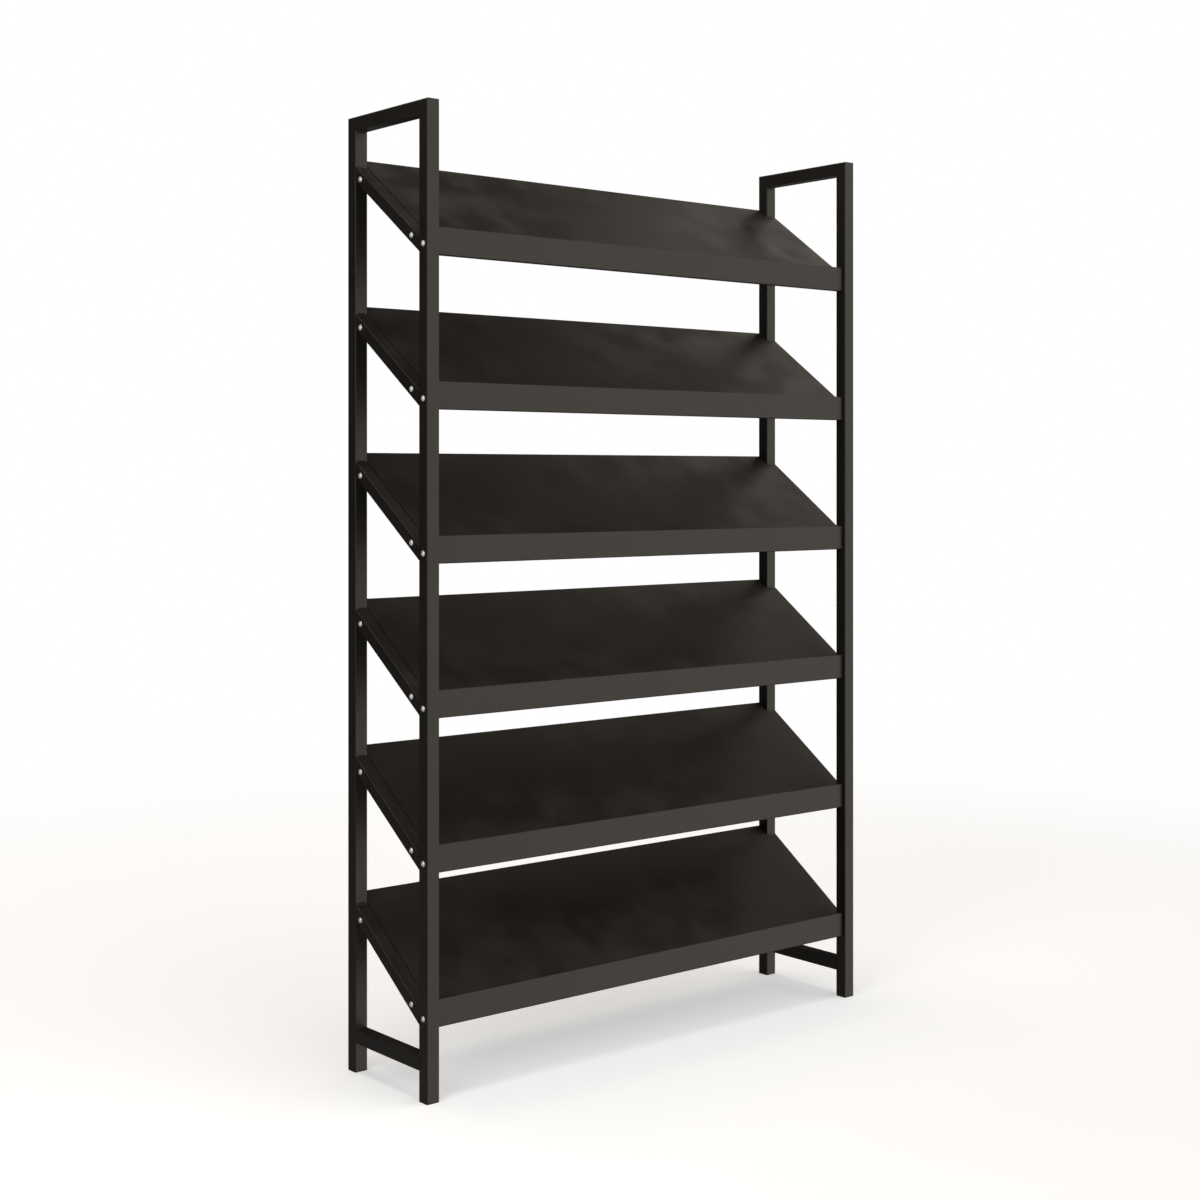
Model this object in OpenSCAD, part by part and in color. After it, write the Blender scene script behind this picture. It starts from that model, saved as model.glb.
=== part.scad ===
// Six-tier display rack for newspapers and magazines.
// Two welded side frames of square steel tube carry six folded sheet-steel trays, which
// slope down to a front lip and are bolted on through the frames' sloping rails.
// Origin: middle of the footprint, on the ground. +X right, +Y to the back, +Z up.

/* [Overall] */
// Width over the side frames
rack_w = 1050; // [700:10:1400]
// Depth over the front and rear posts
rack_d = 250; // [200:5:320]
// Height from the ground to the top of the frames
rack_h = 1700; // [1400:10:2100]

/* [Side frames] */
// Side of the square tube of posts, top bars and stretchers
tube_size = 25; // [20:1:30]
// Wall thickness of every tube
tube_wall = 1.2; // [1:0.1:2]
// Outer corner radius of every tube
tube_r = 1.5; // [1.2:0.1:4]
// Height of the sloping rails' tube, across the slope
rail_h = 22; // [18:1:27]
// Underside of the bottom stretcher above the ground
stretcher_clear = 52; // [30:1:60]

/* [Trays] */
// Slope of the trays and rails, in degrees
tray_slope = 35.4; // [25:0.1:43]
// Bottom edge of the lowest tray's lip above the ground
lip_clear = 124.5; // [115:0.5:160]
// Height left between the top tray's back edge and the top of the frames
top_gap = 70; // [45:1:120]
// Thickness of the tray sheet
sheet = 1.2; // [0.8:0.1:1.5]
// Inner radius of the folds
fold_r = 1; // [0.5:0.1:2]
// Height of the front lip
lip_h = 48; // [40:1:60]
// How far the lip stands back from the front of the posts
lip_inset = 6.5; // [3:0.5:9]
// How far the lip reaches below the floor of the tray
lip_drop = 20; // [16:0.5:25]
// Depth of the return under the lip
lip_return = 10; // [6:0.5:16]
// Gap inside the hem at the top of the lip
hem_gap = 0.3; // [0.2:0.1:1]
// Depth of the flanges at both ends of a tray, across the slope
side_flange = 19; // [17:0.5:21]
// Height of the flange along the back of a tray
back_flange = 20; // [10:1:30]
// How far the tray floor stands above the rails, across the slope
tray_proud = 0.6; // [0:0.1:3]
// Gap between each end of a tray and the side frame
tray_gap = 0.3; // [0.2:0.1:1]

/* [Fasteners] */
// Thread diameter of the bolts and screws
bolt_d = 5; // [4:0.5:6]
// Diameter of the domed heads
head_d = 10; // [8:0.5:12]
// Height of the domed heads
head_h = 2.8; // [2:0.1:3.5]
// Clearance of the bolts in their drilled holes, on the diameter
hole_gap = 0.5; // [0.2:0.1:1]
// Rear bolt of each rail, from the front face of the rear post
rear_bolt_inset = 16; // [12:0.5:30]
// Front bolt of each rail, from the rear face of the front post
front_bolt_inset = 23; // [14:0.5:40]
// Gap between a post screw and the underside of the tray floor
screw_gap = 1.5; // [0.5:0.1:3]

/* [Feet] */
// Thickness of the part of each glide that shows under its post
glide_base = 3; // [2:0.5:6]
// How far each glide reaches up inside its post
glide_plug = 16; // [10:1:30]
// Gap between a glide and the inside of its post
glide_gap = 0.2; // [0.1:0.05:0.4]

/* [Hidden] */

$fn = 32;
tiers = 6;
fold_steps = 6;
frame_colour = [0.20, 0.19, 0.175];
tray_colour = [0.23, 0.215, 0.20];
steel_colour = [0.86, 0.85, 0.81];
glide_colour = [0.05, 0.05, 0.05];

front = -rack_d / 2;
back = rack_d / 2;
left = -rack_w / 2;
tube_inner_r = max(tube_r - tube_wall, 0.2);
inner_w = rack_w - 2 * tube_size;
tray_w = inner_w - 2 * tray_gap;
bore_d = bolt_d + hole_gap;

lip_front = front + lip_inset;
lip_inner = lip_front + 2 * sheet + hem_gap;
lip_top = lip_clear + lip_h;
pitch = (rack_h - top_gap - floor_z(back)) / (tiers - 1);

washer_t = 1;
washer_d = 10;
nut_t = 4;
nut_flats = 8;
thread_gap = 0.1;
bolt_tip = 1.5;
socket_d = 3.6;
socket_depth = 1.6;
stack = tube_size + tray_gap + sheet;

front_bolt_y = front + tube_size + front_bolt_inset;
rear_bolt_y = back - tube_size - rear_bolt_inset;
screw_y = front + tube_size / 2;
screw_z = floor_z(screw_y) - (bolt_d / 2 + sheet + screw_gap) / cos(tray_slope);

// Height of the lowest tray's floor, and of its rails' top and middle, at a given depth
function floor_z(y) = lip_clear + lip_drop + tan(tray_slope) * (y - lip_front);
function rail_top_z(y) = floor_z(y) - tray_proud / cos(tray_slope);
function rail_mid_z(y) = rail_top_z(y) - rail_h / 2 / cos(tray_slope);

// A folded sheet, drawn as its middle line with a radius at each fold
function unit(v) = v / norm(v);
function left_of(v) = [-v[1], v[0]];
function turn(a, b, c) = sign((b - a)[0] * (c - b)[1] - (b - a)[1] * (c - b)[0]);
function fold_angle(a, b, c) = acos(unit(a - b) * unit(c - b));
function fold_centre(a, b, c, r) = b + unit(unit(a - b) + unit(c - b)) * r / sin(fold_angle(a, b, c) / 2);
function fold_arc(a, b, c, r, d) =
    let (way = turn(a, b, c), o = fold_centre(a, b, c, r), sweep = way * (180 - fold_angle(a, b, c)),
         from = -way * left_of(unit(b - a)), start = atan2(from[1], from[0]))
    [for (k = [0 : fold_steps])
        o + (r - way * d) * [cos(start + sweep * k / fold_steps), sin(start + sweep * k / fold_steps)]];
function sheet_side(path, radii, d) =
    let (n = len(path) - 1)
    concat(
        [path[0] + d * left_of(unit(path[1] - path[0]))],
        [for (k = [1 : n - 1]) each fold_arc(path[k - 1], path[k], path[k + 1], radii[k - 1], d)],
        [path[n] + d * left_of(unit(path[n] - path[n - 1]))]);
function reversed(list) = [for (k = [len(list) - 1 : -1 : 0]) list[k]];

module folded_sheet(path, radii) {
    polygon(concat(sheet_side(path, radii, sheet / 2), reversed(sheet_side(path, radii, -sheet / 2))));
}

// Extrudes an outline drawn in the YZ plane along +X
module along_x(length) {
    rotate([90, 0, 90]) linear_extrude(length) children();
}

module rounded_rect(w, h, r) {
    translate([r, 0]) square([w - 2 * r, h]);
    translate([0, r]) square([w, h - 2 * r]);
    for (x = [r, w - r], y = [r, h - r]) translate([x, y]) circle(r);
}

module tube_section(w, h) {
    difference() {
        rounded_rect(w, h, tube_r);
        translate([tube_wall, tube_wall])
            rounded_rect(w - 2 * tube_wall, h - 2 * tube_wall, tube_inner_r);
    }
}

// A tube that runs along +Y, w wide and h high
module tube_y(length, w, h) {
    translate([0, length, 0]) rotate([90, 0, 0]) linear_extrude(length) tube_section(w, h);
}

// Straight hole along X through everything at a point of the left frame
module side_hole(y, z, d) {
    translate([left - 1, y, z]) rotate([0, 90, 0]) cylinder(h = stack + 2, d = d);
}

module each_tier() {
    for (k = [0 : tiers - 1]) translate([0, 0, k * pitch]) children();
}

module on_right() {
    mirror([1, 0, 0]) children();
}

// Half-space that cuts the mitres: everything above a slope that falls to the back
module mitre_cut(angle) {
    rotate([angle, 0, 0]) translate([-1, 0, 0]) cube([tube_size + 2, 2 * tube_size, 2 * tube_size]);
}

module front_post() {
    color(frame_colour) difference() {
        translate([left, front, glide_base])
            linear_extrude(rack_h - glide_base) tube_section(tube_size, tube_size);
        translate([left, front, rack_h]) mitre_cut(-45);
        each_tier() side_hole(screw_y, screw_z, bore_d);
    }
}

module rear_post() {
    color(frame_colour) difference() {
        translate([left, back - tube_size, glide_base])
            linear_extrude(rack_h - glide_base) tube_section(tube_size, tube_size);
        translate([left, back, rack_h]) mitre_cut(45 + 90);
    }
}

module top_bar() {
    color(frame_colour) difference() {
        translate([left, front, rack_h - tube_size]) tube_y(rack_d, tube_size, tube_size);
        translate([left, front, rack_h]) mitre_cut(-135);
        translate([left, back, rack_h]) mitre_cut(-135);
    }
}

module stretcher() {
    color(frame_colour)
        translate([left, front + tube_size, stretcher_clear])
            tube_y(rack_d - 2 * tube_size, tube_size, tube_size);
}

module rail(tier) {
    run = rack_d - 2 * tube_size;
    spare = 2 * rail_h;
    length = run / cos(tray_slope) + 2 * spare;
    rise = (tier - 1) * pitch;
    color(frame_colour) translate([0, 0, rise]) difference() {
        intersection() {
            translate([left, front + tube_size, rail_top_z(front + tube_size)])
                rotate([tray_slope, 0, 0])
                    translate([0, -spare, -rail_h]) tube_y(length, tube_size, rail_h);
            translate([left - 1, front + tube_size, 0]) cube([tube_size + 2, run, rack_h]);
        }
        side_hole(front_bolt_y, rail_mid_z(front_bolt_y), bore_d);
        side_hole(rear_bolt_y, rail_mid_z(rear_bolt_y), bore_d);
    }
}

// Section of a tray: back flange, floor, lip, hem and the return under the lip
module tray_profile() {
    mid_drop = sheet / 2 / cos(tray_slope);
    back_mid = back - sheet / 2;
    inner_mid = lip_inner - sheet / 2;
    outer_mid = lip_front + sheet / 2;
    fold = fold_r + sheet / 2;
    hem = (inner_mid - outer_mid) / 2;
    path = [
        [back_mid, floor_z(back) - back_flange],
        [back_mid, floor_z(back_mid) - mid_drop],
        [inner_mid, floor_z(inner_mid) - mid_drop],
        [inner_mid, lip_top - sheet / 2],
        [outer_mid, lip_top - sheet / 2],
        [outer_mid, lip_clear + sheet / 2],
        [lip_front + lip_return, lip_clear + sheet / 2]
    ];
    folded_sheet(path, [fold, fold, hem, hem, fold]);
}

// Outline of the flange at the end of a tray, which hangs from the floor beside the rail
module flange_outline() {
    y0 = lip_front + sheet + fold_r;
    y1 = back - sheet - fold_r;
    top = sheet / 2 / cos(tray_slope);
    depth = side_flange / cos(tray_slope);
    intersection() {
        polygon([[y0, floor_z(y0) - top], [y1, floor_z(y1) - top],
                 [y1, floor_z(y1) - depth], [y0, floor_z(y0) - depth]]);
        translate([front, lip_clear + sheet / 2]) square([rack_d, rack_h]);
    }
}

module tray(tier) {
    rise = (tier - 1) * pitch;
    start = -tray_w / 2;
    color(tray_colour) translate([0, 0, rise]) {
        difference() {
            union() {
                translate([start, 0, 0]) along_x(tray_w) tray_profile();
                translate([start, 0, 0]) along_x(sheet) flange_outline();
                translate([-start - sheet, 0, 0]) along_x(sheet) flange_outline();
            }
            tray_holes();
            on_right() tray_holes();
        }
    }
}

module tray_holes() {
    side_hole(front_bolt_y, rail_mid_z(front_bolt_y), bore_d);
    side_hole(rear_bolt_y, rail_mid_z(rear_bolt_y), bore_d);
    side_hole(screw_y, screw_z, bolt_d + thread_gap);
}

// Foot plug: a flat base under the post and a hollow ribbed plug inside it
module glide() {
    inside = tube_size - 2 * tube_wall - 2 * glide_gap;
    wall = 2;
    inset = tube_wall + glide_gap;
    color(glide_colour) {
        linear_extrude(glide_base) rounded_rect(tube_size, tube_size, tube_r);
        translate([inset, inset, 0]) difference() {
            linear_extrude(glide_base + glide_plug) rounded_rect(inside, inside, tube_inner_r);
            translate([wall, wall, glide_base])
                cube([inside - 2 * wall, inside - 2 * wall, glide_plug + 1]);
        }
    }
}

module front_glide() translate([left, front, 0]) glide();
module rear_glide() translate([left, back - tube_size, 0]) glide();

// Domed bolt along +X, with its head outside the frame and a hexagon socket
module bolt(length) {
    dome_r = (head_h * head_h + head_d * head_d / 4) / (2 * head_h);
    dome_angle = asin(head_d / 2 / dome_r);
    color(steel_colour) rotate([0, 90, 0]) {
        cylinder(h = length, d = bolt_d);
        difference() {
            rotate_extrude()
                polygon(concat([[0, 0]],
                    [for (k = [0 : 8]) let (a = dome_angle * (1 - k / 8))
                        [dome_r * sin(a), dome_r - head_h - dome_r * cos(a)]]));
            translate([0, 0, -head_h - 1]) cylinder(h = socket_depth + 1, d = socket_d, $fn = 6);
        }
    }
}

module washer() {
    color(steel_colour) rotate([0, 90, 0]) difference() {
        cylinder(h = washer_t, d = washer_d);
        translate([0, 0, -1]) cylinder(h = washer_t + 2, d = bore_d);
    }
}

module nut() {
    color(steel_colour) rotate([0, 90, 0]) difference() {
        cylinder(h = nut_t, d = nut_flats / cos(30), $fn = 6);
        translate([0, 0, -1]) cylinder(h = nut_t + 2, d = bolt_d + thread_gap);
    }
}

// Fasteners of the left frame, one of each kind at every tier
module rail_bolts(y) {
    each_tier() translate([left, y, rail_mid_z(y)]) bolt(stack + washer_t + nut_t + bolt_tip);
}

module post_screws() {
    each_tier() translate([left, screw_y, screw_z]) bolt(stack + 2 * bolt_tip);
}

module washers(y) {
    each_tier() translate([left + stack, y, rail_mid_z(y)]) washer();
}

module nuts(y) {
    each_tier() translate([left + stack + washer_t, y, rail_mid_z(y)]) nut();
}

front_post();  // left_front_post
rear_post();  // left_rear_post
top_bar();  // left_top_bar
stretcher();  // left_stretcher
on_right() front_post();  // right_front_post
on_right() rear_post();  // right_rear_post
on_right() top_bar();  // right_top_bar
on_right() stretcher();  // right_stretcher

for (tier = [1 : tiers]) {
    rail(tier);
    on_right() rail(tier);
    tray(tier);
}

front_glide();  // left_front_glide
rear_glide();  // left_rear_glide
on_right() front_glide();  // right_front_glide
on_right() rear_glide();  // right_rear_glide

post_screws();  // left_post_screws
on_right() post_screws();  // right_post_screws
rail_bolts(front_bolt_y);  // left_front_rail_bolts
rail_bolts(rear_bolt_y);  // left_rear_rail_bolts
on_right() rail_bolts(front_bolt_y);  // right_front_rail_bolts
on_right() rail_bolts(rear_bolt_y);  // right_rear_rail_bolts
washers(front_bolt_y);  // left_front_washers
washers(rear_bolt_y);  // left_rear_washers
on_right() washers(front_bolt_y);  // right_front_washers
on_right() washers(rear_bolt_y);  // right_rear_washers
nuts(front_bolt_y);  // left_front_nuts
nuts(rear_bolt_y);  // left_rear_nuts
on_right() nuts(front_bolt_y);  // right_front_nuts
on_right() nuts(rear_bolt_y);  // right_rear_nuts
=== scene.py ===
"""Finishes, welds, studio and camera for a six-tier newspaper rack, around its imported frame."""

import logging
import math
from collections.abc import Iterator
from dataclasses import dataclass
from enum import Enum
from typing import Union

import bmesh
import bpy
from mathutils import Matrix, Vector


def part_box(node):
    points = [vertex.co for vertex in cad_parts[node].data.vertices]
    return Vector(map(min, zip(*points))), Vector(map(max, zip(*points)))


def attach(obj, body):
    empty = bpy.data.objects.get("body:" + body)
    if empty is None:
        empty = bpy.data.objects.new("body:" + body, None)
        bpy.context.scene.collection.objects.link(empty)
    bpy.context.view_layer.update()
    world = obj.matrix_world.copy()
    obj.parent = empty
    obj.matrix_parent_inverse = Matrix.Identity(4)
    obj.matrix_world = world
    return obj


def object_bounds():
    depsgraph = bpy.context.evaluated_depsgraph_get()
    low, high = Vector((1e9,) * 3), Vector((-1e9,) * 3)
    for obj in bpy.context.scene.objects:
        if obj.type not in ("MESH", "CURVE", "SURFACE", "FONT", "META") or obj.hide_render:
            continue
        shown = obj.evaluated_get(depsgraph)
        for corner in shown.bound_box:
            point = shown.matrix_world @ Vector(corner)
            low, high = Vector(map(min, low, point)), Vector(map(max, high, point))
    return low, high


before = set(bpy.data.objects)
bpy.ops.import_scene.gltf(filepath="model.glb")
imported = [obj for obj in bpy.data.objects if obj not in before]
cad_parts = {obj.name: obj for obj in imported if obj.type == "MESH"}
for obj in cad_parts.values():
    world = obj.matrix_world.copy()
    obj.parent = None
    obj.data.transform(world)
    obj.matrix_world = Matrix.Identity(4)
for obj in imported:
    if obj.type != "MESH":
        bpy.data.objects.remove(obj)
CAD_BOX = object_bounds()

log = logging.getLogger("rack")

Colour = tuple[float, float, float]
Point = tuple[float, float, float]
Span = tuple[float, float]

MM = 0.001
WHITE: Colour = (1.0, 1.0, 1.0)
WARM: Colour = (1.0, 0.92, 0.83)
TIERS = range(1, 7)

# Bevel of a CAD node's sharp edges, and the angle above which a new piece's edges stay sharp.
BEVEL_SEGMENTS = 2
BEVEL_ANGLE = math.radians(40)
SMOOTH_ANGLE = math.radians(50)


def rgba(colour: Colour) -> tuple[float, float, float, float]:
    """The colour with full alpha."""
    return (*colour, 1.0)


def new_object(name: str, data: bpy.types.ID) -> bpy.types.Object:
    """Makes an object and links it to the scene.

    Args:
        name: the object's name.
        data: its mesh, light or camera.

    Returns:
        The new object.
    """
    made = bpy.data.objects.new(name, data)
    bpy.context.scene.collection.objects.link(made)
    return made


# --------------------------------------------------------------------------- shader helpers


class Value:
    """A number socket; arithmetic on it adds Math nodes."""

    def __init__(self, shader: "Shader", socket: bpy.types.NodeSocket) -> None:
        """Wraps one socket.

        Args:
            shader: the node tree that the socket belongs to.
            socket: the output that carries the number.
        """
        self.shader = shader
        self.socket = socket

    def __add__(self, other: "Number") -> "Value":
        """Sum."""
        return self.shader.maths("ADD", self, other)

    def __sub__(self, other: "Number") -> "Value":
        """Difference."""
        return self.shader.maths("SUBTRACT", self, other)

    def __rsub__(self, other: "Number") -> "Value":
        """Difference with a plain number first."""
        return self.shader.maths("SUBTRACT", other, self)

    def __mul__(self, other: "Number") -> "Value":
        """Product."""
        return self.shader.maths("MULTIPLY", self, other)

    __radd__ = __add__
    __rmul__ = __mul__

    def clamped(self) -> "Value":
        """The same number, held between 0 and 1."""
        return self.shader.maths("MULTIPLY", self, 1.0, clamp=True)

    def between(self, low: float, high: float) -> "Value":
        """Smooth step from 0 at the low edge to 1 at the high edge.

        Args:
            low: where the step starts.
            high: where the step ends.

        Returns:
            The stepped number.
        """
        settings = {"interpolation_type": "SMOOTHSTEP"}
        sockets = {"Value": self, "From Min": low, "From Max": high}
        stepped = self.shader.node("ShaderNodeMapRange", settings, sockets)
        return Value(self.shader, stepped.outputs[0])


Number = Union[Value, float]


class Shader:
    """Builds the node tree of one material or of the world.

    Attributes:
        corner_lean: 1 minus the cosine of the rounded normal's lean, where the edge mask starts
            and where it is full.
        corner_samples: samples of the rounded normal.
    """

    corner_lean: Span = (0.01, 0.25)
    corner_samples: int = 4

    def __init__(self, owner: Union[bpy.types.Material, bpy.types.World]) -> None:
        """Empties the owner's node tree and keeps it.

        Args:
            owner: the material or world to build.
        """
        owner.use_nodes = True
        self.tree = owner.node_tree
        self.tree.nodes.clear()

    def node(self, kind: str, settings: Union[dict, None] = None,
             sockets: Union[dict, None] = None) -> bpy.types.Node:
        """Adds a node, sets it up, then fills or links its inputs.

        Args:
            kind: the node's type name.
            settings: properties that are set first.
            sockets: values, Values or output sockets for the inputs, by name or number.

        Returns:
            The new node.
        """
        made = self.tree.nodes.new(kind)
        for key, value in (settings or {}).items():
            setattr(made, key, value)
        for key, value in (sockets or {}).items():
            if isinstance(value, Value):
                self.tree.links.new(value.socket, made.inputs[key])
            elif isinstance(value, bpy.types.NodeSocket):
                self.tree.links.new(value, made.inputs[key])
            else:
                made.inputs[key].default_value = value
        return made

    def maths(self, operation: str, first: Number, second: Number, clamp: bool = False) -> Value:
        """Adds a Math node.

        Args:
            operation: the Math node's operation.
            first: the first number.
            second: the second number.
            clamp: whether the result is held between 0 and 1.

        Returns:
            The result.
        """
        settings = {"operation": operation, "use_clamp": clamp}
        return Value(self, self.node("ShaderNodeMath", settings, {0: first, 1: second}).outputs[0])

    def vector_maths(self, operation: str, *vectors: object) -> Value:
        """Adds a Vector Math node that gives a number.

        Args:
            operation: the node's operation, such as DOT_PRODUCT or LENGTH.
            vectors: its vectors, as sockets or constants.

        Returns:
            The result.
        """
        made = self.node("ShaderNodeVectorMath", {"operation": operation}, dict(enumerate(vectors)))
        return Value(self, made.outputs["Value"])

    def height_of(self, vector: bpy.types.NodeSocket) -> Value:
        """The vector's Z, which points up."""
        return Value(self, self.node("ShaderNodeSeparateXYZ", None, {0: vector}).outputs["Z"])

    def place(self) -> bpy.types.NodeSocket:
        """The point on the surface, in metres in the rack's own frame."""
        return self.node("ShaderNodeTexCoord").outputs["Object"]

    def normal(self) -> bpy.types.NodeSocket:
        """The surface's normal before any bump."""
        return self.node("ShaderNodeNewGeometry").outputs["Normal"]

    def noise(self, grain: float, detail: float = 2.0, stretch: Point = (1, 1, 1)) -> Value:
        """Noise whose blotches have a real size.

        Args:
            grain: size of a blotch, in metres.
            detail: octaves of finer noise.
            stretch: how much finer it is along each axis.

        Returns:
            The noise, about 0 to 1.
        """
        mapped = self.node("ShaderNodeMapping", None, {"Vector": self.place(), "Scale": stretch})
        sockets = {"Vector": mapped.outputs[0], "Scale": 1 / grain, "Detail": detail}
        return Value(self, self.node("ShaderNodeTexNoise", None, sockets).outputs[0])

    def facing_up(self) -> Value:
        """1 where the surface faces straight up, 0 where it is upright or faces down."""
        return self.height_of(self.normal()).clamped()

    def near_edge(self, radius: float) -> Value:
        """1 on outside and inside corners, 0 on flat ground.

        Args:
            radius: how far from the corner the mask reaches, in metres.

        Returns:
            The mask.
        """
        settings = {"samples": self.corner_samples}
        rounded = self.node("ShaderNodeBevel", settings, {"Radius": radius}).outputs[0]
        dot = self.vector_maths("DOT_PRODUCT", self.normal(), rounded)
        return (1 - dot).between(*self.corner_lean)

    def mix(self, factor: Number, first: Union[Colour, bpy.types.NodeSocket],
            second: Union[Colour, bpy.types.NodeSocket]) -> bpy.types.NodeSocket:
        """Mixes two colours.

        Args:
            factor: 0 gives the first colour, 1 the second.
            first: the first colour.
            second: the second colour.

        Returns:
            The mixed colour's socket.
        """
        sockets: dict = {"Factor": factor}
        for key, colour in ((6, first), (7, second)):
            sockets[key] = colour if isinstance(colour, bpy.types.NodeSocket) else rgba(colour)
        return self.node("ShaderNodeMix", {"data_type": "RGBA"}, sockets).outputs[2]

    def bump(self, height: Value, depth: float) -> bpy.types.NodeSocket:
        """Turns a height into a normal.

        Args:
            height: the height, 0 to 1.
            depth: the real depth of that range, in metres.

        Returns:
            The normal's socket.
        """
        return self.node("ShaderNodeBump", None, {"Height": height, "Distance": depth}).outputs[0]

    def surface(self, **sockets: object) -> None:
        """Ends the tree in a Principled shader.

        Args:
            sockets: its inputs, with underscores for spaces.
        """
        inputs = {key.replace("_", " "): value for key, value in sockets.items()}
        shader = self.node("ShaderNodeBsdfPrincipled", None, inputs)
        self.node("ShaderNodeOutputMaterial", None, {"Surface": shader.outputs[0]})


# --------------------------------------------------------------------------- finishes


@dataclass(frozen=True)
class Coating:
    """What a surface is made of; each kind paints its own node tree.

    Attributes:
        name: the material's name.
    """

    name: str

    def paint(self, shader: Shader) -> None:
        """Fills a material's node tree.

        Args:
            shader: the empty tree.
        """
        raise NotImplementedError

    def build(self) -> bpy.types.Material:
        """Makes the material.

        Returns:
            The finished material.
        """
        made = bpy.data.materials.new(self.name)
        self.paint(Shader(made))
        return made


@dataclass(frozen=True)
class PowderCoat(Coating):
    """Satin powder coat baked on steel: fine grain, a little orange peel, soft cloudy sheen.

    Attributes:
        dark: the colour in the dark clouds.
        light: the colour in the light clouds.
        roughness: roughness of clean, even coat.
        grain: size of the powder's grain, in metres.
        grain_depth: depth of the grain, in metres.
        grain_roughness: how far the grain swings the roughness.
        peel: size of the orange peel, in metres.
        peel_depth: depth of the orange peel, in metres.
        cloud: size of the clouds, in metres.
        cloud_share: share of the clouds in the mottle; the rest is grain.
        cloud_roughness: how far the clouds swing the roughness.
        mottle: where the mottle starts to turn from dark to light, and where it is light.
        dust: colour of settled dust, and of the lightened edges, which stand for wear and a painted
            highlight.
        dust_clouds: where in the clouds dust starts to lie, and where it is full.
        dust_cover: how much the thickest dust covers.
        dust_roughness: roughness that dust adds.
        edge_reach: width of the lightened edges, in metres.
        edge_wear_and_highlight: how far the edges turn to the dust colour, as wear and as a painted
            highlight.
        sheen: tint of the reflections.
    """

    dark: Colour
    light: Colour
    roughness: float = 0.40
    grain: float = 0.5 * MM
    grain_depth: float = 0.02 * MM
    grain_roughness: float = 0.08
    peel: float = 3.2 * MM
    peel_depth: float = 0.05 * MM
    cloud: float = 90 * MM
    cloud_share: float = 0.7
    cloud_roughness: float = 0.10
    mottle: Span = (0.3, 0.7)
    dust: Colour = (0.045, 0.039, 0.032)
    dust_clouds: Span = (0.35, 0.75)
    dust_cover: float = 0.16
    dust_roughness: float = 0.8
    edge_reach: float = 1.2 * MM
    edge_wear_and_highlight: float = 0.35
    sheen: Colour = (1.0, 0.87, 0.74)

    def paint(self, shader: Shader) -> None:
        """Fills the tree with mottled coat, dust on level faces, and edges lightened as wear and as
        a painted highlight.

        Args:
            shader: the empty tree.
        """
        grain = shader.noise(self.grain, detail=3)
        peel = shader.noise(self.peel, detail=1)
        cloud = shader.noise(self.cloud, detail=3)
        edge = shader.near_edge(self.edge_reach)
        mottle = cloud * self.cloud_share + grain * (1 - self.cloud_share)
        coat = shader.mix(mottle.between(*self.mottle), self.dark, self.light)
        settled = shader.facing_up() * cloud.between(*self.dust_clouds) * self.dust_cover
        dusty = shader.mix(settled, coat, self.dust)
        clean = (self.roughness + (cloud - 0.5) * self.cloud_roughness
                 + (grain - 0.5) * self.grain_roughness)
        height = peel * (self.peel_depth / self.grain_depth) + grain
        shader.surface(
            # Edges are mixed towards the lighter dust colour: partly wear, partly a painted
            # highlight along every corner.
            Base_Color=shader.mix(edge * self.edge_wear_and_highlight, dusty, self.dust),
            Roughness=clean + settled * self.dust_roughness,
            Specular_IOR_Level=0.5,
            Specular_Tint=rgba(self.sheen),
            Normal=shader.bump(height, self.grain_depth),
        )


@dataclass(frozen=True)
class ZincPlate(Coating):
    """Bright zinc plating with faint turning marks and a slightly patchy shine.

    Attributes:
        bright: the fresh plating's colour.
        dull: the colour of the patches.
        patch: size of the patches, in metres.
        patch_edges: where a patch starts, and where it is full.
        patch_roughness: roughness that the patches add.
        scratch: size of the turning marks, in metres.
        scratch_depth: depth of the marks, in metres.
        scratch_stretch: how much finer the marks are along each axis.
        scratch_roughness: roughness that the marks add.
        metallic: how metallic the plating is under its clear passivation.
        roughness: the fresh plating's roughness.
    """

    bright: Colour = (0.95, 0.92, 0.85)
    dull: Colour = (0.74, 0.71, 0.65)
    patch: float = 2.2 * MM
    patch_edges: Span = (0.35, 0.75)
    patch_roughness: float = 0.12
    scratch: float = 0.35 * MM
    scratch_depth: float = 0.01 * MM
    scratch_stretch: Point = (0.2, 1, 1)
    scratch_roughness: float = 0.08
    metallic: float = 0.5
    roughness: float = 0.30

    def paint(self, shader: Shader) -> None:
        """Fills the tree with patchy plating and its turning marks.

        Args:
            shader: the empty tree.
        """
        patches = shader.noise(self.patch, detail=3)
        scratches = shader.noise(self.scratch, detail=2, stretch=self.scratch_stretch)
        shader.surface(
            Base_Color=shader.mix(patches.between(*self.patch_edges), self.bright, self.dull),
            Metallic=self.metallic,
            Roughness=(self.roughness + patches * self.patch_roughness
                       + scratches * self.scratch_roughness),
            Normal=shader.bump(scratches, self.scratch_depth),
        )


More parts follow.
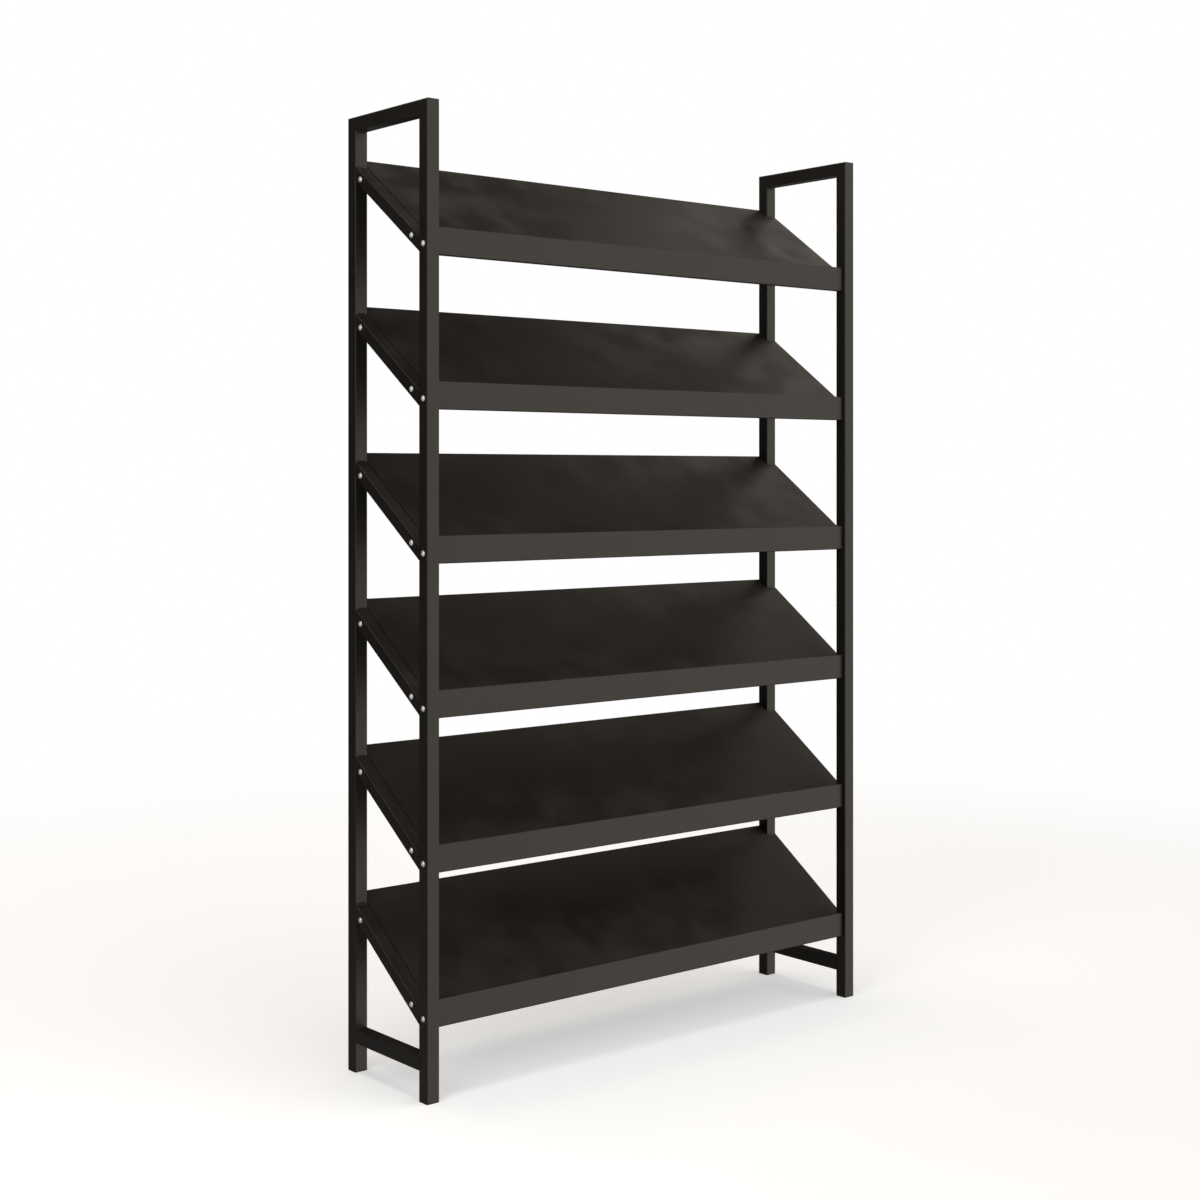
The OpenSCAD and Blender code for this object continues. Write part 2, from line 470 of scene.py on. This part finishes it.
@dataclass(frozen=True)
class MouldedPlastic(Coating):
    """Black polyethylene with a spark-eroded texture.

    Attributes:
        colour: the clean plastic's colour.
        scuffed: the colour of the scuffs.
        scuff: size of the scuffs, in metres.
        scuff_edges: where a scuff starts, and where it is full.
        spark: size of the texture, in metres.
        spark_depth: depth of the texture, in metres.
        spark_roughness: roughness that the texture adds.
        roughness: the smooth plastic's roughness.
    """

    colour: Colour = (0.010, 0.010, 0.010)
    scuffed: Colour = (0.035, 0.034, 0.032)
    scuff: float = 6 * MM
    scuff_edges: Span = (0.5, 0.8)
    spark: float = 0.4 * MM
    spark_depth: float = 0.03 * MM
    spark_roughness: float = 0.14
    roughness: float = 0.52

    def paint(self, shader: Shader) -> None:
        """Fills the tree with textured plastic and its scuffs.

        Args:
            shader: the empty tree.
        """
        spark = shader.noise(self.spark, detail=3)
        scuff = shader.noise(self.scuff, detail=4)
        shader.surface(
            Base_Color=shader.mix(scuff.between(*self.scuff_edges), self.colour, self.scuffed),
            Roughness=self.roughness + spark * self.spark_roughness,
            Normal=shader.bump(spark, self.spark_depth),
        )


@dataclass(frozen=True)
class StudioFloor(Coating):
    """Plain pale floor that glows a little and fades out into the backdrop.

    Attributes:
        colour: the floor's colour.
        roughness: the floor's roughness.
        glow: strength of its own light.
        fade: distances from the rack's middle where it starts to fade and where it is gone, in
            metres.
    """

    colour: Colour = (0.80, 0.80, 0.80)
    roughness: float = 0.9
    glow: float = 0.42
    fade: Span = (1.6, 3.6)

    def paint(self, shader: Shader) -> None:
        """Fills the tree with an even, glowing floor that fades with distance.

        Args:
            shader: the empty tree.
        """
        away = shader.vector_maths("LENGTH", shader.place())
        shader.surface(
            Base_Color=rgba(self.colour),
            Roughness=self.roughness,
            Specular_IOR_Level=0.0,
            Emission_Color=rgba(WHITE),
            Emission_Strength=self.glow,
            Alpha=1 - away.between(*self.fade),
        )


class Finish(Enum):
    """The rack's finishes, each under the record's slot name."""

    FRAME = PowderCoat("frame_powder_coat", (0.0105, 0.0092, 0.0076), (0.0150, 0.0131, 0.0108))
    TRAY = PowderCoat("tray_powder_coat", (0.0100, 0.0086, 0.0070), (0.0145, 0.0125, 0.0102))
    FASTENER = ZincPlate("bright_zinc_plate")
    GLIDE = MouldedPlastic("black_glide_plastic")

    @property
    def slot(self) -> str:
        """The record's slot name."""
        return self.name.lower()

    def material(self) -> bpy.types.Material:
        """The finish's one material, made when it is first asked for."""
        return bpy.data.materials.get(self.value.name) or self.value.build()


def dress(names: list[str], finish: Finish, edge: float = 0.0) -> None:
    """Gives CAD nodes their finish, and a small round on their sharp edges if asked.

    Args:
        names: the nodes.
        finish: what they are finished in.
        edge: width of the round, in metres, or 0 for none.
    """
    for name in names:
        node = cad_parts[name]
        node.data.materials.clear()
        node.data.materials.append(finish.material())
        if edge:
            rounding = node.modifiers.new("edge_round", "BEVEL")
            rounding.width = edge
            rounding.segments = BEVEL_SEGMENTS
            rounding.limit_method = "ANGLE"
            rounding.angle_limit = BEVEL_ANGLE
            rounding.harden_normals = True
        log.info("dressed %s in %s", name, finish.value.name)


# --------------------------------------------------------------------------- welds


@dataclass
class WeldBead:
    """A painted fillet weld along an inside corner, with the ripples of its runs.

    Attributes:
        start: one end of the corner line.
        end: its other end.
        up: direction of the leg on the post.
        out: direction of the leg on the tube that meets the post.
        leg: length of both legs, in metres.
        throat: depth of the bead at the middle of its back, as a share of the leg.
        back_points: points from one leg's tip round the back to the other's.
        ripple: length of one ripple, in metres.
        ripple_height: how far a ripple swells the bead, as a share.
        rings_per_ripple: rings of points along one ripple.
        fewest_rings: fewest steps along a bead.
        end_size: size of the bead's ends, as a share.
        end_growth: how fast the ends grow to full size, per share of the bead's length.
    """

    start: Vector
    end: Vector
    up: Vector
    out: Vector
    leg: float = 2.4 * MM
    throat: float = 0.82
    back_points: int = 7
    ripple: float = 1.6 * MM
    ripple_height: float = 0.07
    rings_per_ripple: int = 4
    fewest_rings: int = 8
    end_size: float = 0.35
    end_growth: float = 4.0

    def section(self, swell: float) -> list[Vector]:
        """One ring of the bead: the corner, then the back from the tube's leg to the post's.

        Args:
            swell: scale of this ring.

        Returns:
            The ring's points, from the corner.
        """
        points = [Vector((0, 0, 0))]
        for step in range(self.back_points):
            angle = math.pi / 2 * step / (self.back_points - 1)
            depth = self.throat + (1 - self.throat) * abs(math.cos(2 * angle))
            across = self.out * (math.cos(angle) * depth)
            rise = self.up * (math.sin(angle) * depth)
            points.append((rise + across) * self.leg * swell)
        return points

    def swell_at(self, share: float, ripples: float) -> float:
        """Scale of the bead somewhere along it.

        Args:
            share: how far along it is, 0 to 1.
            ripples: how many ripples the bead has.

        Returns:
            The scale.
        """
        taper = min(1.0, self.end_size + self.end_growth * min(share, 1 - share))
        return taper * (1 + self.ripple_height * math.cos(2 * math.pi * share * ripples))

    def add_to(self, mesh: bmesh.types.BMesh) -> None:
        """Adds the bead to a mesh.

        Args:
            mesh: the mesh that takes it.
        """
        run = self.end - self.start
        ripples = run.length / self.ripple
        count = max(self.fewest_rings, round(ripples * self.rings_per_ripple))
        rings = []
        for step in range(count + 1):
            share = step / count
            centre = self.start + run * share
            points = self.section(self.swell_at(share, ripples))
            rings.append([mesh.verts.new(centre + point) for point in points])
        for first, second in zip(rings, rings[1:]):
            for k in range(len(first)):
                after = (k + 1) % len(first)
                mesh.faces.new((first[k], first[after], second[after], second[k]))
        mesh.faces.new(rings[0][::-1])
        mesh.faces.new(rings[-1])


def new_piece(name: str, mesh: bmesh.types.BMesh, finish: Finish) -> None:
    """Turns a mesh into a piece that rides on the rack.

    Args:
        name: the piece's name.
        mesh: its shape, which is freed.
        finish: what it is finished in.
    """
    bmesh.ops.recalc_face_normals(mesh, faces=mesh.faces)
    data = bpy.data.meshes.new(name)
    mesh.to_mesh(data)
    mesh.free()
    for face in data.polygons:
        face.use_smooth = True
    data.set_sharp_from_angle(angle=SMOOTH_ANGLE)
    data.materials.append(finish.material())
    piece = new_object(name, data)
    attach(piece, "root")
    finish.slot
    log.info("built %s: %d faces", name, len(data.polygons))


# --------------------------------------------------------------------------- sub-assemblies


class Side(Enum):
    """The two ends of the rack, as seen from the front."""

    LEFT = "left"
    RIGHT = "right"


@dataclass
class SideFrame:
    """One welded frame: two posts, a top bar, a stretcher and six sloping rails.

    Attributes:
        side: which end of the rack it is.
        bead_inset: how far a weld bead stops short of the tube's faces, in metres.
        touch: how near its end a rail's corner lies, in metres.
        tubes: its parts besides the rails.
    """

    side: Side
    bead_inset: float = 2.6 * MM
    touch: float = 0.1 * MM
    tubes: tuple[str, ...] = ("front_post", "rear_post", "top_bar", "stretcher")

    def name(self, part: str) -> str:
        """Full node name of one of the frame's parts."""
        return f"{self.side.value}_{part}"

    def dress(self) -> None:
        """Gives every tube its powder coat."""
        names = [self.name(part) for part in self.tubes]
        names += [self.name(f"rail_{tier}") for tier in TIERS]
        dress(names, Finish.FRAME)

    def rail_corners(self, tier: int) -> dict[str, Vector]:
        """Ends of a rail's top and bottom edges, in the middle plane of its tube.

        Args:
            tier: which rail, from 1 at the bottom.

        Returns:
            Points by "front_low", "front_high", "rear_low" and "rear_high".
        """
        low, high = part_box(self.name(f"rail_{tier}"))
        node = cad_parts[self.name(f"rail_{tier}")]
        middle = (low.x + high.x) / 2
        found = {}
        for end, edge in (("front", low.y), ("rear", high.y)):
            heights = [v.co.z for v in node.data.vertices if abs(v.co.y - edge) < self.touch]
            found[f"{end}_low"] = Vector((middle, edge, min(heights)))
            found[f"{end}_high"] = Vector((middle, edge, max(heights)))
        return found

    def corner_bead(self, corner: Vector, half: float, up: Vector, out: Vector) -> WeldBead:
        """A bead across the tube's width in one inside corner.

        Args:
            corner: middle of the corner line.
            half: half the bead's length.
            up: direction along the post.
            out: direction along the tube that meets it.

        Returns:
            The bead.
        """
        reach = Vector((half, 0, 0))
        return WeldBead(corner - reach, corner + reach, up, out)

    def beads(self) -> Iterator[WeldBead]:
        """Every weld of the frame that shows.

        Yields:
            The beads, tier by tier, then those of the stretcher and the top bar.
        """
        post_low, post_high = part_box(self.name("front_post"))
        half = (post_high.x - post_low.x) / 2 - self.bead_inset
        post_depth = post_high.y - post_low.y
        up, down, back = Vector((0, 0, 1)), Vector((0, 0, -1)), Vector((0, 1, 0))
        for tier in TIERS:
            at = self.rail_corners(tier)
            slope = (at["rear_high"] - at["front_high"]).normalized()
            for end, out in (("front", slope), ("rear", -slope)):
                yield self.corner_bead(at[f"{end}_high"], half, up, out)
                yield self.corner_bead(at[f"{end}_low"], half, down, out)
        # The stretcher ends at the posts; the mitred top bar runs on over them.
        for part, over, ways in (("stretcher", 0.0, (down, up)), ("top_bar", post_depth, (down,))):
            low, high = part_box(self.name(part))
            middle = (low.x + high.x) / 2
            for way in ways:
                height = high.z if way is up else low.z
                for depth, out in ((low.y + over, back), (high.y - over, -back)):
                    yield self.corner_bead(Vector((middle, depth, height)), half, way, out)

    def weld(self) -> None:
        """Builds the frame's weld beads as one piece."""
        mesh = bmesh.new()
        for bead in self.beads():
            bead.add_to(mesh)
        new_piece(self.name("weld_beads"), mesh, Finish.FRAME)


@dataclass
class TraySet:
    """The six folded trays.

    Attributes:
        edge: width of the round on their cut edges, in metres.
    """

    edge: float = 0.35 * MM

    def dress(self) -> None:
        """Gives the trays their powder coat and rounds their cut edges."""
        dress([f"tray_{tier}" for tier in TIERS], Finish.TRAY, self.edge)


@dataclass
class Fixings:
    """Bolts, screws, washers, nuts and the glides in the posts' feet.

    Attributes:
        glide_edge: width of the round on the glides' edges, in metres.
        metal: the zinc-plated parts of each side.
        plastic: the moulded parts of each side.
    """

    glide_edge: float = 0.4 * MM
    metal: tuple[str, ...] = ("post_screws", "front_rail_bolts", "rear_rail_bolts",
                              "front_washers", "rear_washers", "front_nuts", "rear_nuts")
    plastic: tuple[str, ...] = ("front_glide", "rear_glide")

    def dress(self) -> None:
        """Gives the fixings their finishes."""
        for side in Side:
            dress([f"{side.value}_{part}" for part in self.metal], Finish.FASTENER)
            dress([f"{side.value}_{part}" for part in self.plastic], Finish.GLIDE, self.glide_edge)


# --------------------------------------------------------------------------- studio


@dataclass(frozen=True)
class Softbox:
    """One large soft light that points at the middle of the rack.

    Attributes:
        name: the light's name.
        place: where it stands, in metres.
        size: its width and height, in metres.
        power: its power, in watts.
        colour: its colour.
    """

    name: str
    place: Point
    size: Span
    power: float
    colour: Colour = WHITE

    def build(self) -> None:
        """Makes the light."""
        data = bpy.data.lights.new(self.name, "AREA")
        data.shape = "RECTANGLE"
        data.size, data.size_y = self.size
        data.energy, data.color = self.power, self.colour
        middle = (CAD_BOX[0] + CAD_BOX[1]) / 2
        light = new_object(self.name, data)
        light.location = self.place
        light.rotation_mode = "QUATERNION"
        light.rotation_quaternion = (Vector(self.place) - middle).to_track_quat("Z", "Y")
        light.visible_camera = False


@dataclass(frozen=True)
class OverheadLight:
    """A broad soft light from straight above.

    Attributes:
        name: the light's name.
        strength: its strength, in watts per square metre.
        spread: the angle that it fills, in radians.
        colour: its colour.
    """

    name: str
    strength: float
    spread: float
    colour: Colour = WHITE

    def build(self) -> None:
        """Makes the light."""
        data = bpy.data.lights.new(self.name, "SUN")
        data.energy, data.angle, data.color = self.strength, self.spread, self.colour
        new_object(self.name, data)


@dataclass(frozen=True)
class Surroundings:
    """Surroundings that look plain, and light the rack mostly from its front.

    Attributes:
        backdrop: the colour that the camera sees.
        dim: strength of the light from everywhere.
        bright: strength at the middle of the bright side.
        toward: direction of the bright side.
        bright_edges: cosines of the angle from that direction where the bright side starts and
            where it is full.
        bounce: strength that is added from below.
        bounce_edges: sines of the angle below level where the bounce starts and where it is full.
    """

    backdrop: Colour = WHITE
    dim: float = 0.03
    bright: float = 1.27
    toward: Point = (0.52, -0.80, 0.24)
    bright_edges: Span = (0.40, 0.95)
    bounce: float = 0.22
    bounce_edges: Span = (0.12, 0.45)

    def build(self) -> None:
        """Makes the world: its light for the rack, and a plain colour for the camera."""
        world = bpy.data.worlds.new("studio")
        bpy.context.scene.world = world
        shader = Shader(world)
        way = shader.node("ShaderNodeTexCoord").outputs["Generated"]
        aim = Vector(self.toward).normalized()
        glow = shader.vector_maths("DOT_PRODUCT", way, aim).between(*self.bright_edges)
        below = (0 - shader.height_of(way)).between(*self.bounce_edges)
        strength = glow * (self.bright - self.dim) + below * self.bounce + self.dim
        sockets = {"Color": rgba(WHITE), "Strength": strength}
        lit = shader.node("ShaderNodeBackground", None, sockets)
        plain = shader.node("ShaderNodeBackground", None, {"Color": rgba(self.backdrop)})
        seen = shader.node("ShaderNodeLightPath").outputs["Is Camera Ray"]
        sockets = {0: seen, 1: lit.outputs[0], 2: plain.outputs[0]}
        both = shader.node("ShaderNodeMixShader", None, sockets)
        shader.node("ShaderNodeOutputWorld", None, {"Surface": both.outputs[0]})


@dataclass(frozen=True)
class Camera:
    """The level camera, turned towards the rack's right.

    Attributes:
        eye: where it stands, in metres.
        yaw: how far it turns right from straight ahead, in radians.
        lens: focal length, in millimetres.
        sensor: width of the sensor, in millimetres.
        shift: how far the view shifts up, as a share of the sensor's width.
    """

    eye: Point = (-2.325, -2.757, 1.062)
    yaw: float = math.radians(39.61)
    lens: float = 56.5
    sensor: float = 36.0
    shift: float = -0.1037

    def build(self) -> None:
        """Makes the camera and looks through it."""
        data = bpy.data.cameras.new("camera")
        data.lens, data.sensor_width, data.shift_y = self.lens, self.sensor, self.shift
        camera = new_object("camera", data)
        camera.location = self.eye
        camera.rotation_euler = (math.pi / 2, 0, -self.yaw)
        bpy.context.scene.camera = camera


@dataclass
class Studio:
    """Camera, pale floor, surroundings and soft lights.

    Attributes:
        camera: the camera.
        floor: the floor's finish.
        floor_half: half the floor's width, in metres.
        surroundings: the world around the rack.
        lights: the lights.
    """

    camera: Camera = Camera()
    floor: StudioFloor = StudioFloor("pale_floor")
    floor_half: float = 12.0
    surroundings: Surroundings = Surroundings()
    lights: tuple[Union[Softbox, OverheadLight], ...] = (
        Softbox("high_right_softbox", (3.4, 1.3, 3.9), (1.4, 1.8), 6, WARM),
        Softbox("left_softbox", (-3.0, -1.2, 1.8), (1.8, 2.6), 42),
        Softbox("rear_softbox", (-0.5, 2.4, 3.7), (2.6, 1.6), 22, WARM),
        OverheadLight("overhead_light", 0.9, math.radians(30), WARM),
    )

    def build_floor(self) -> None:
        """Makes the floor under the glides, hidden from the rack's own shading."""
        low, _ = CAD_BOX
        mesh = bmesh.new()
        bmesh.ops.create_grid(mesh, x_segments=1, y_segments=1, size=self.floor_half)
        data = bpy.data.meshes.new("floor")
        mesh.to_mesh(data)
        mesh.free()
        data.materials.append(self.floor.build())
        floor = new_object("floor", data)
        floor.location.z = low.z
        floor.visible_diffuse = False
        floor.visible_glossy = False

    def build(self) -> None:
        """Makes the whole studio."""
        self.camera.build()
        self.build_floor()
        self.surroundings.build()
        for light in self.lights:
            light.build()
        bpy.context.scene.view_settings.view_transform = "Standard"
        log.info("built the studio")


def main() -> None:
    """Builds the studio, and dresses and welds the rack."""
    logging.basicConfig(level=logging.INFO, format="%(name)s: %(message)s")
    Studio().build()
    for side in Side:
        frame_end = SideFrame(side)
        frame_end.dress()
        frame_end.weld()
    TraySet().dress()
    Fixings().dress()


if __name__ == "__main__":
    main()
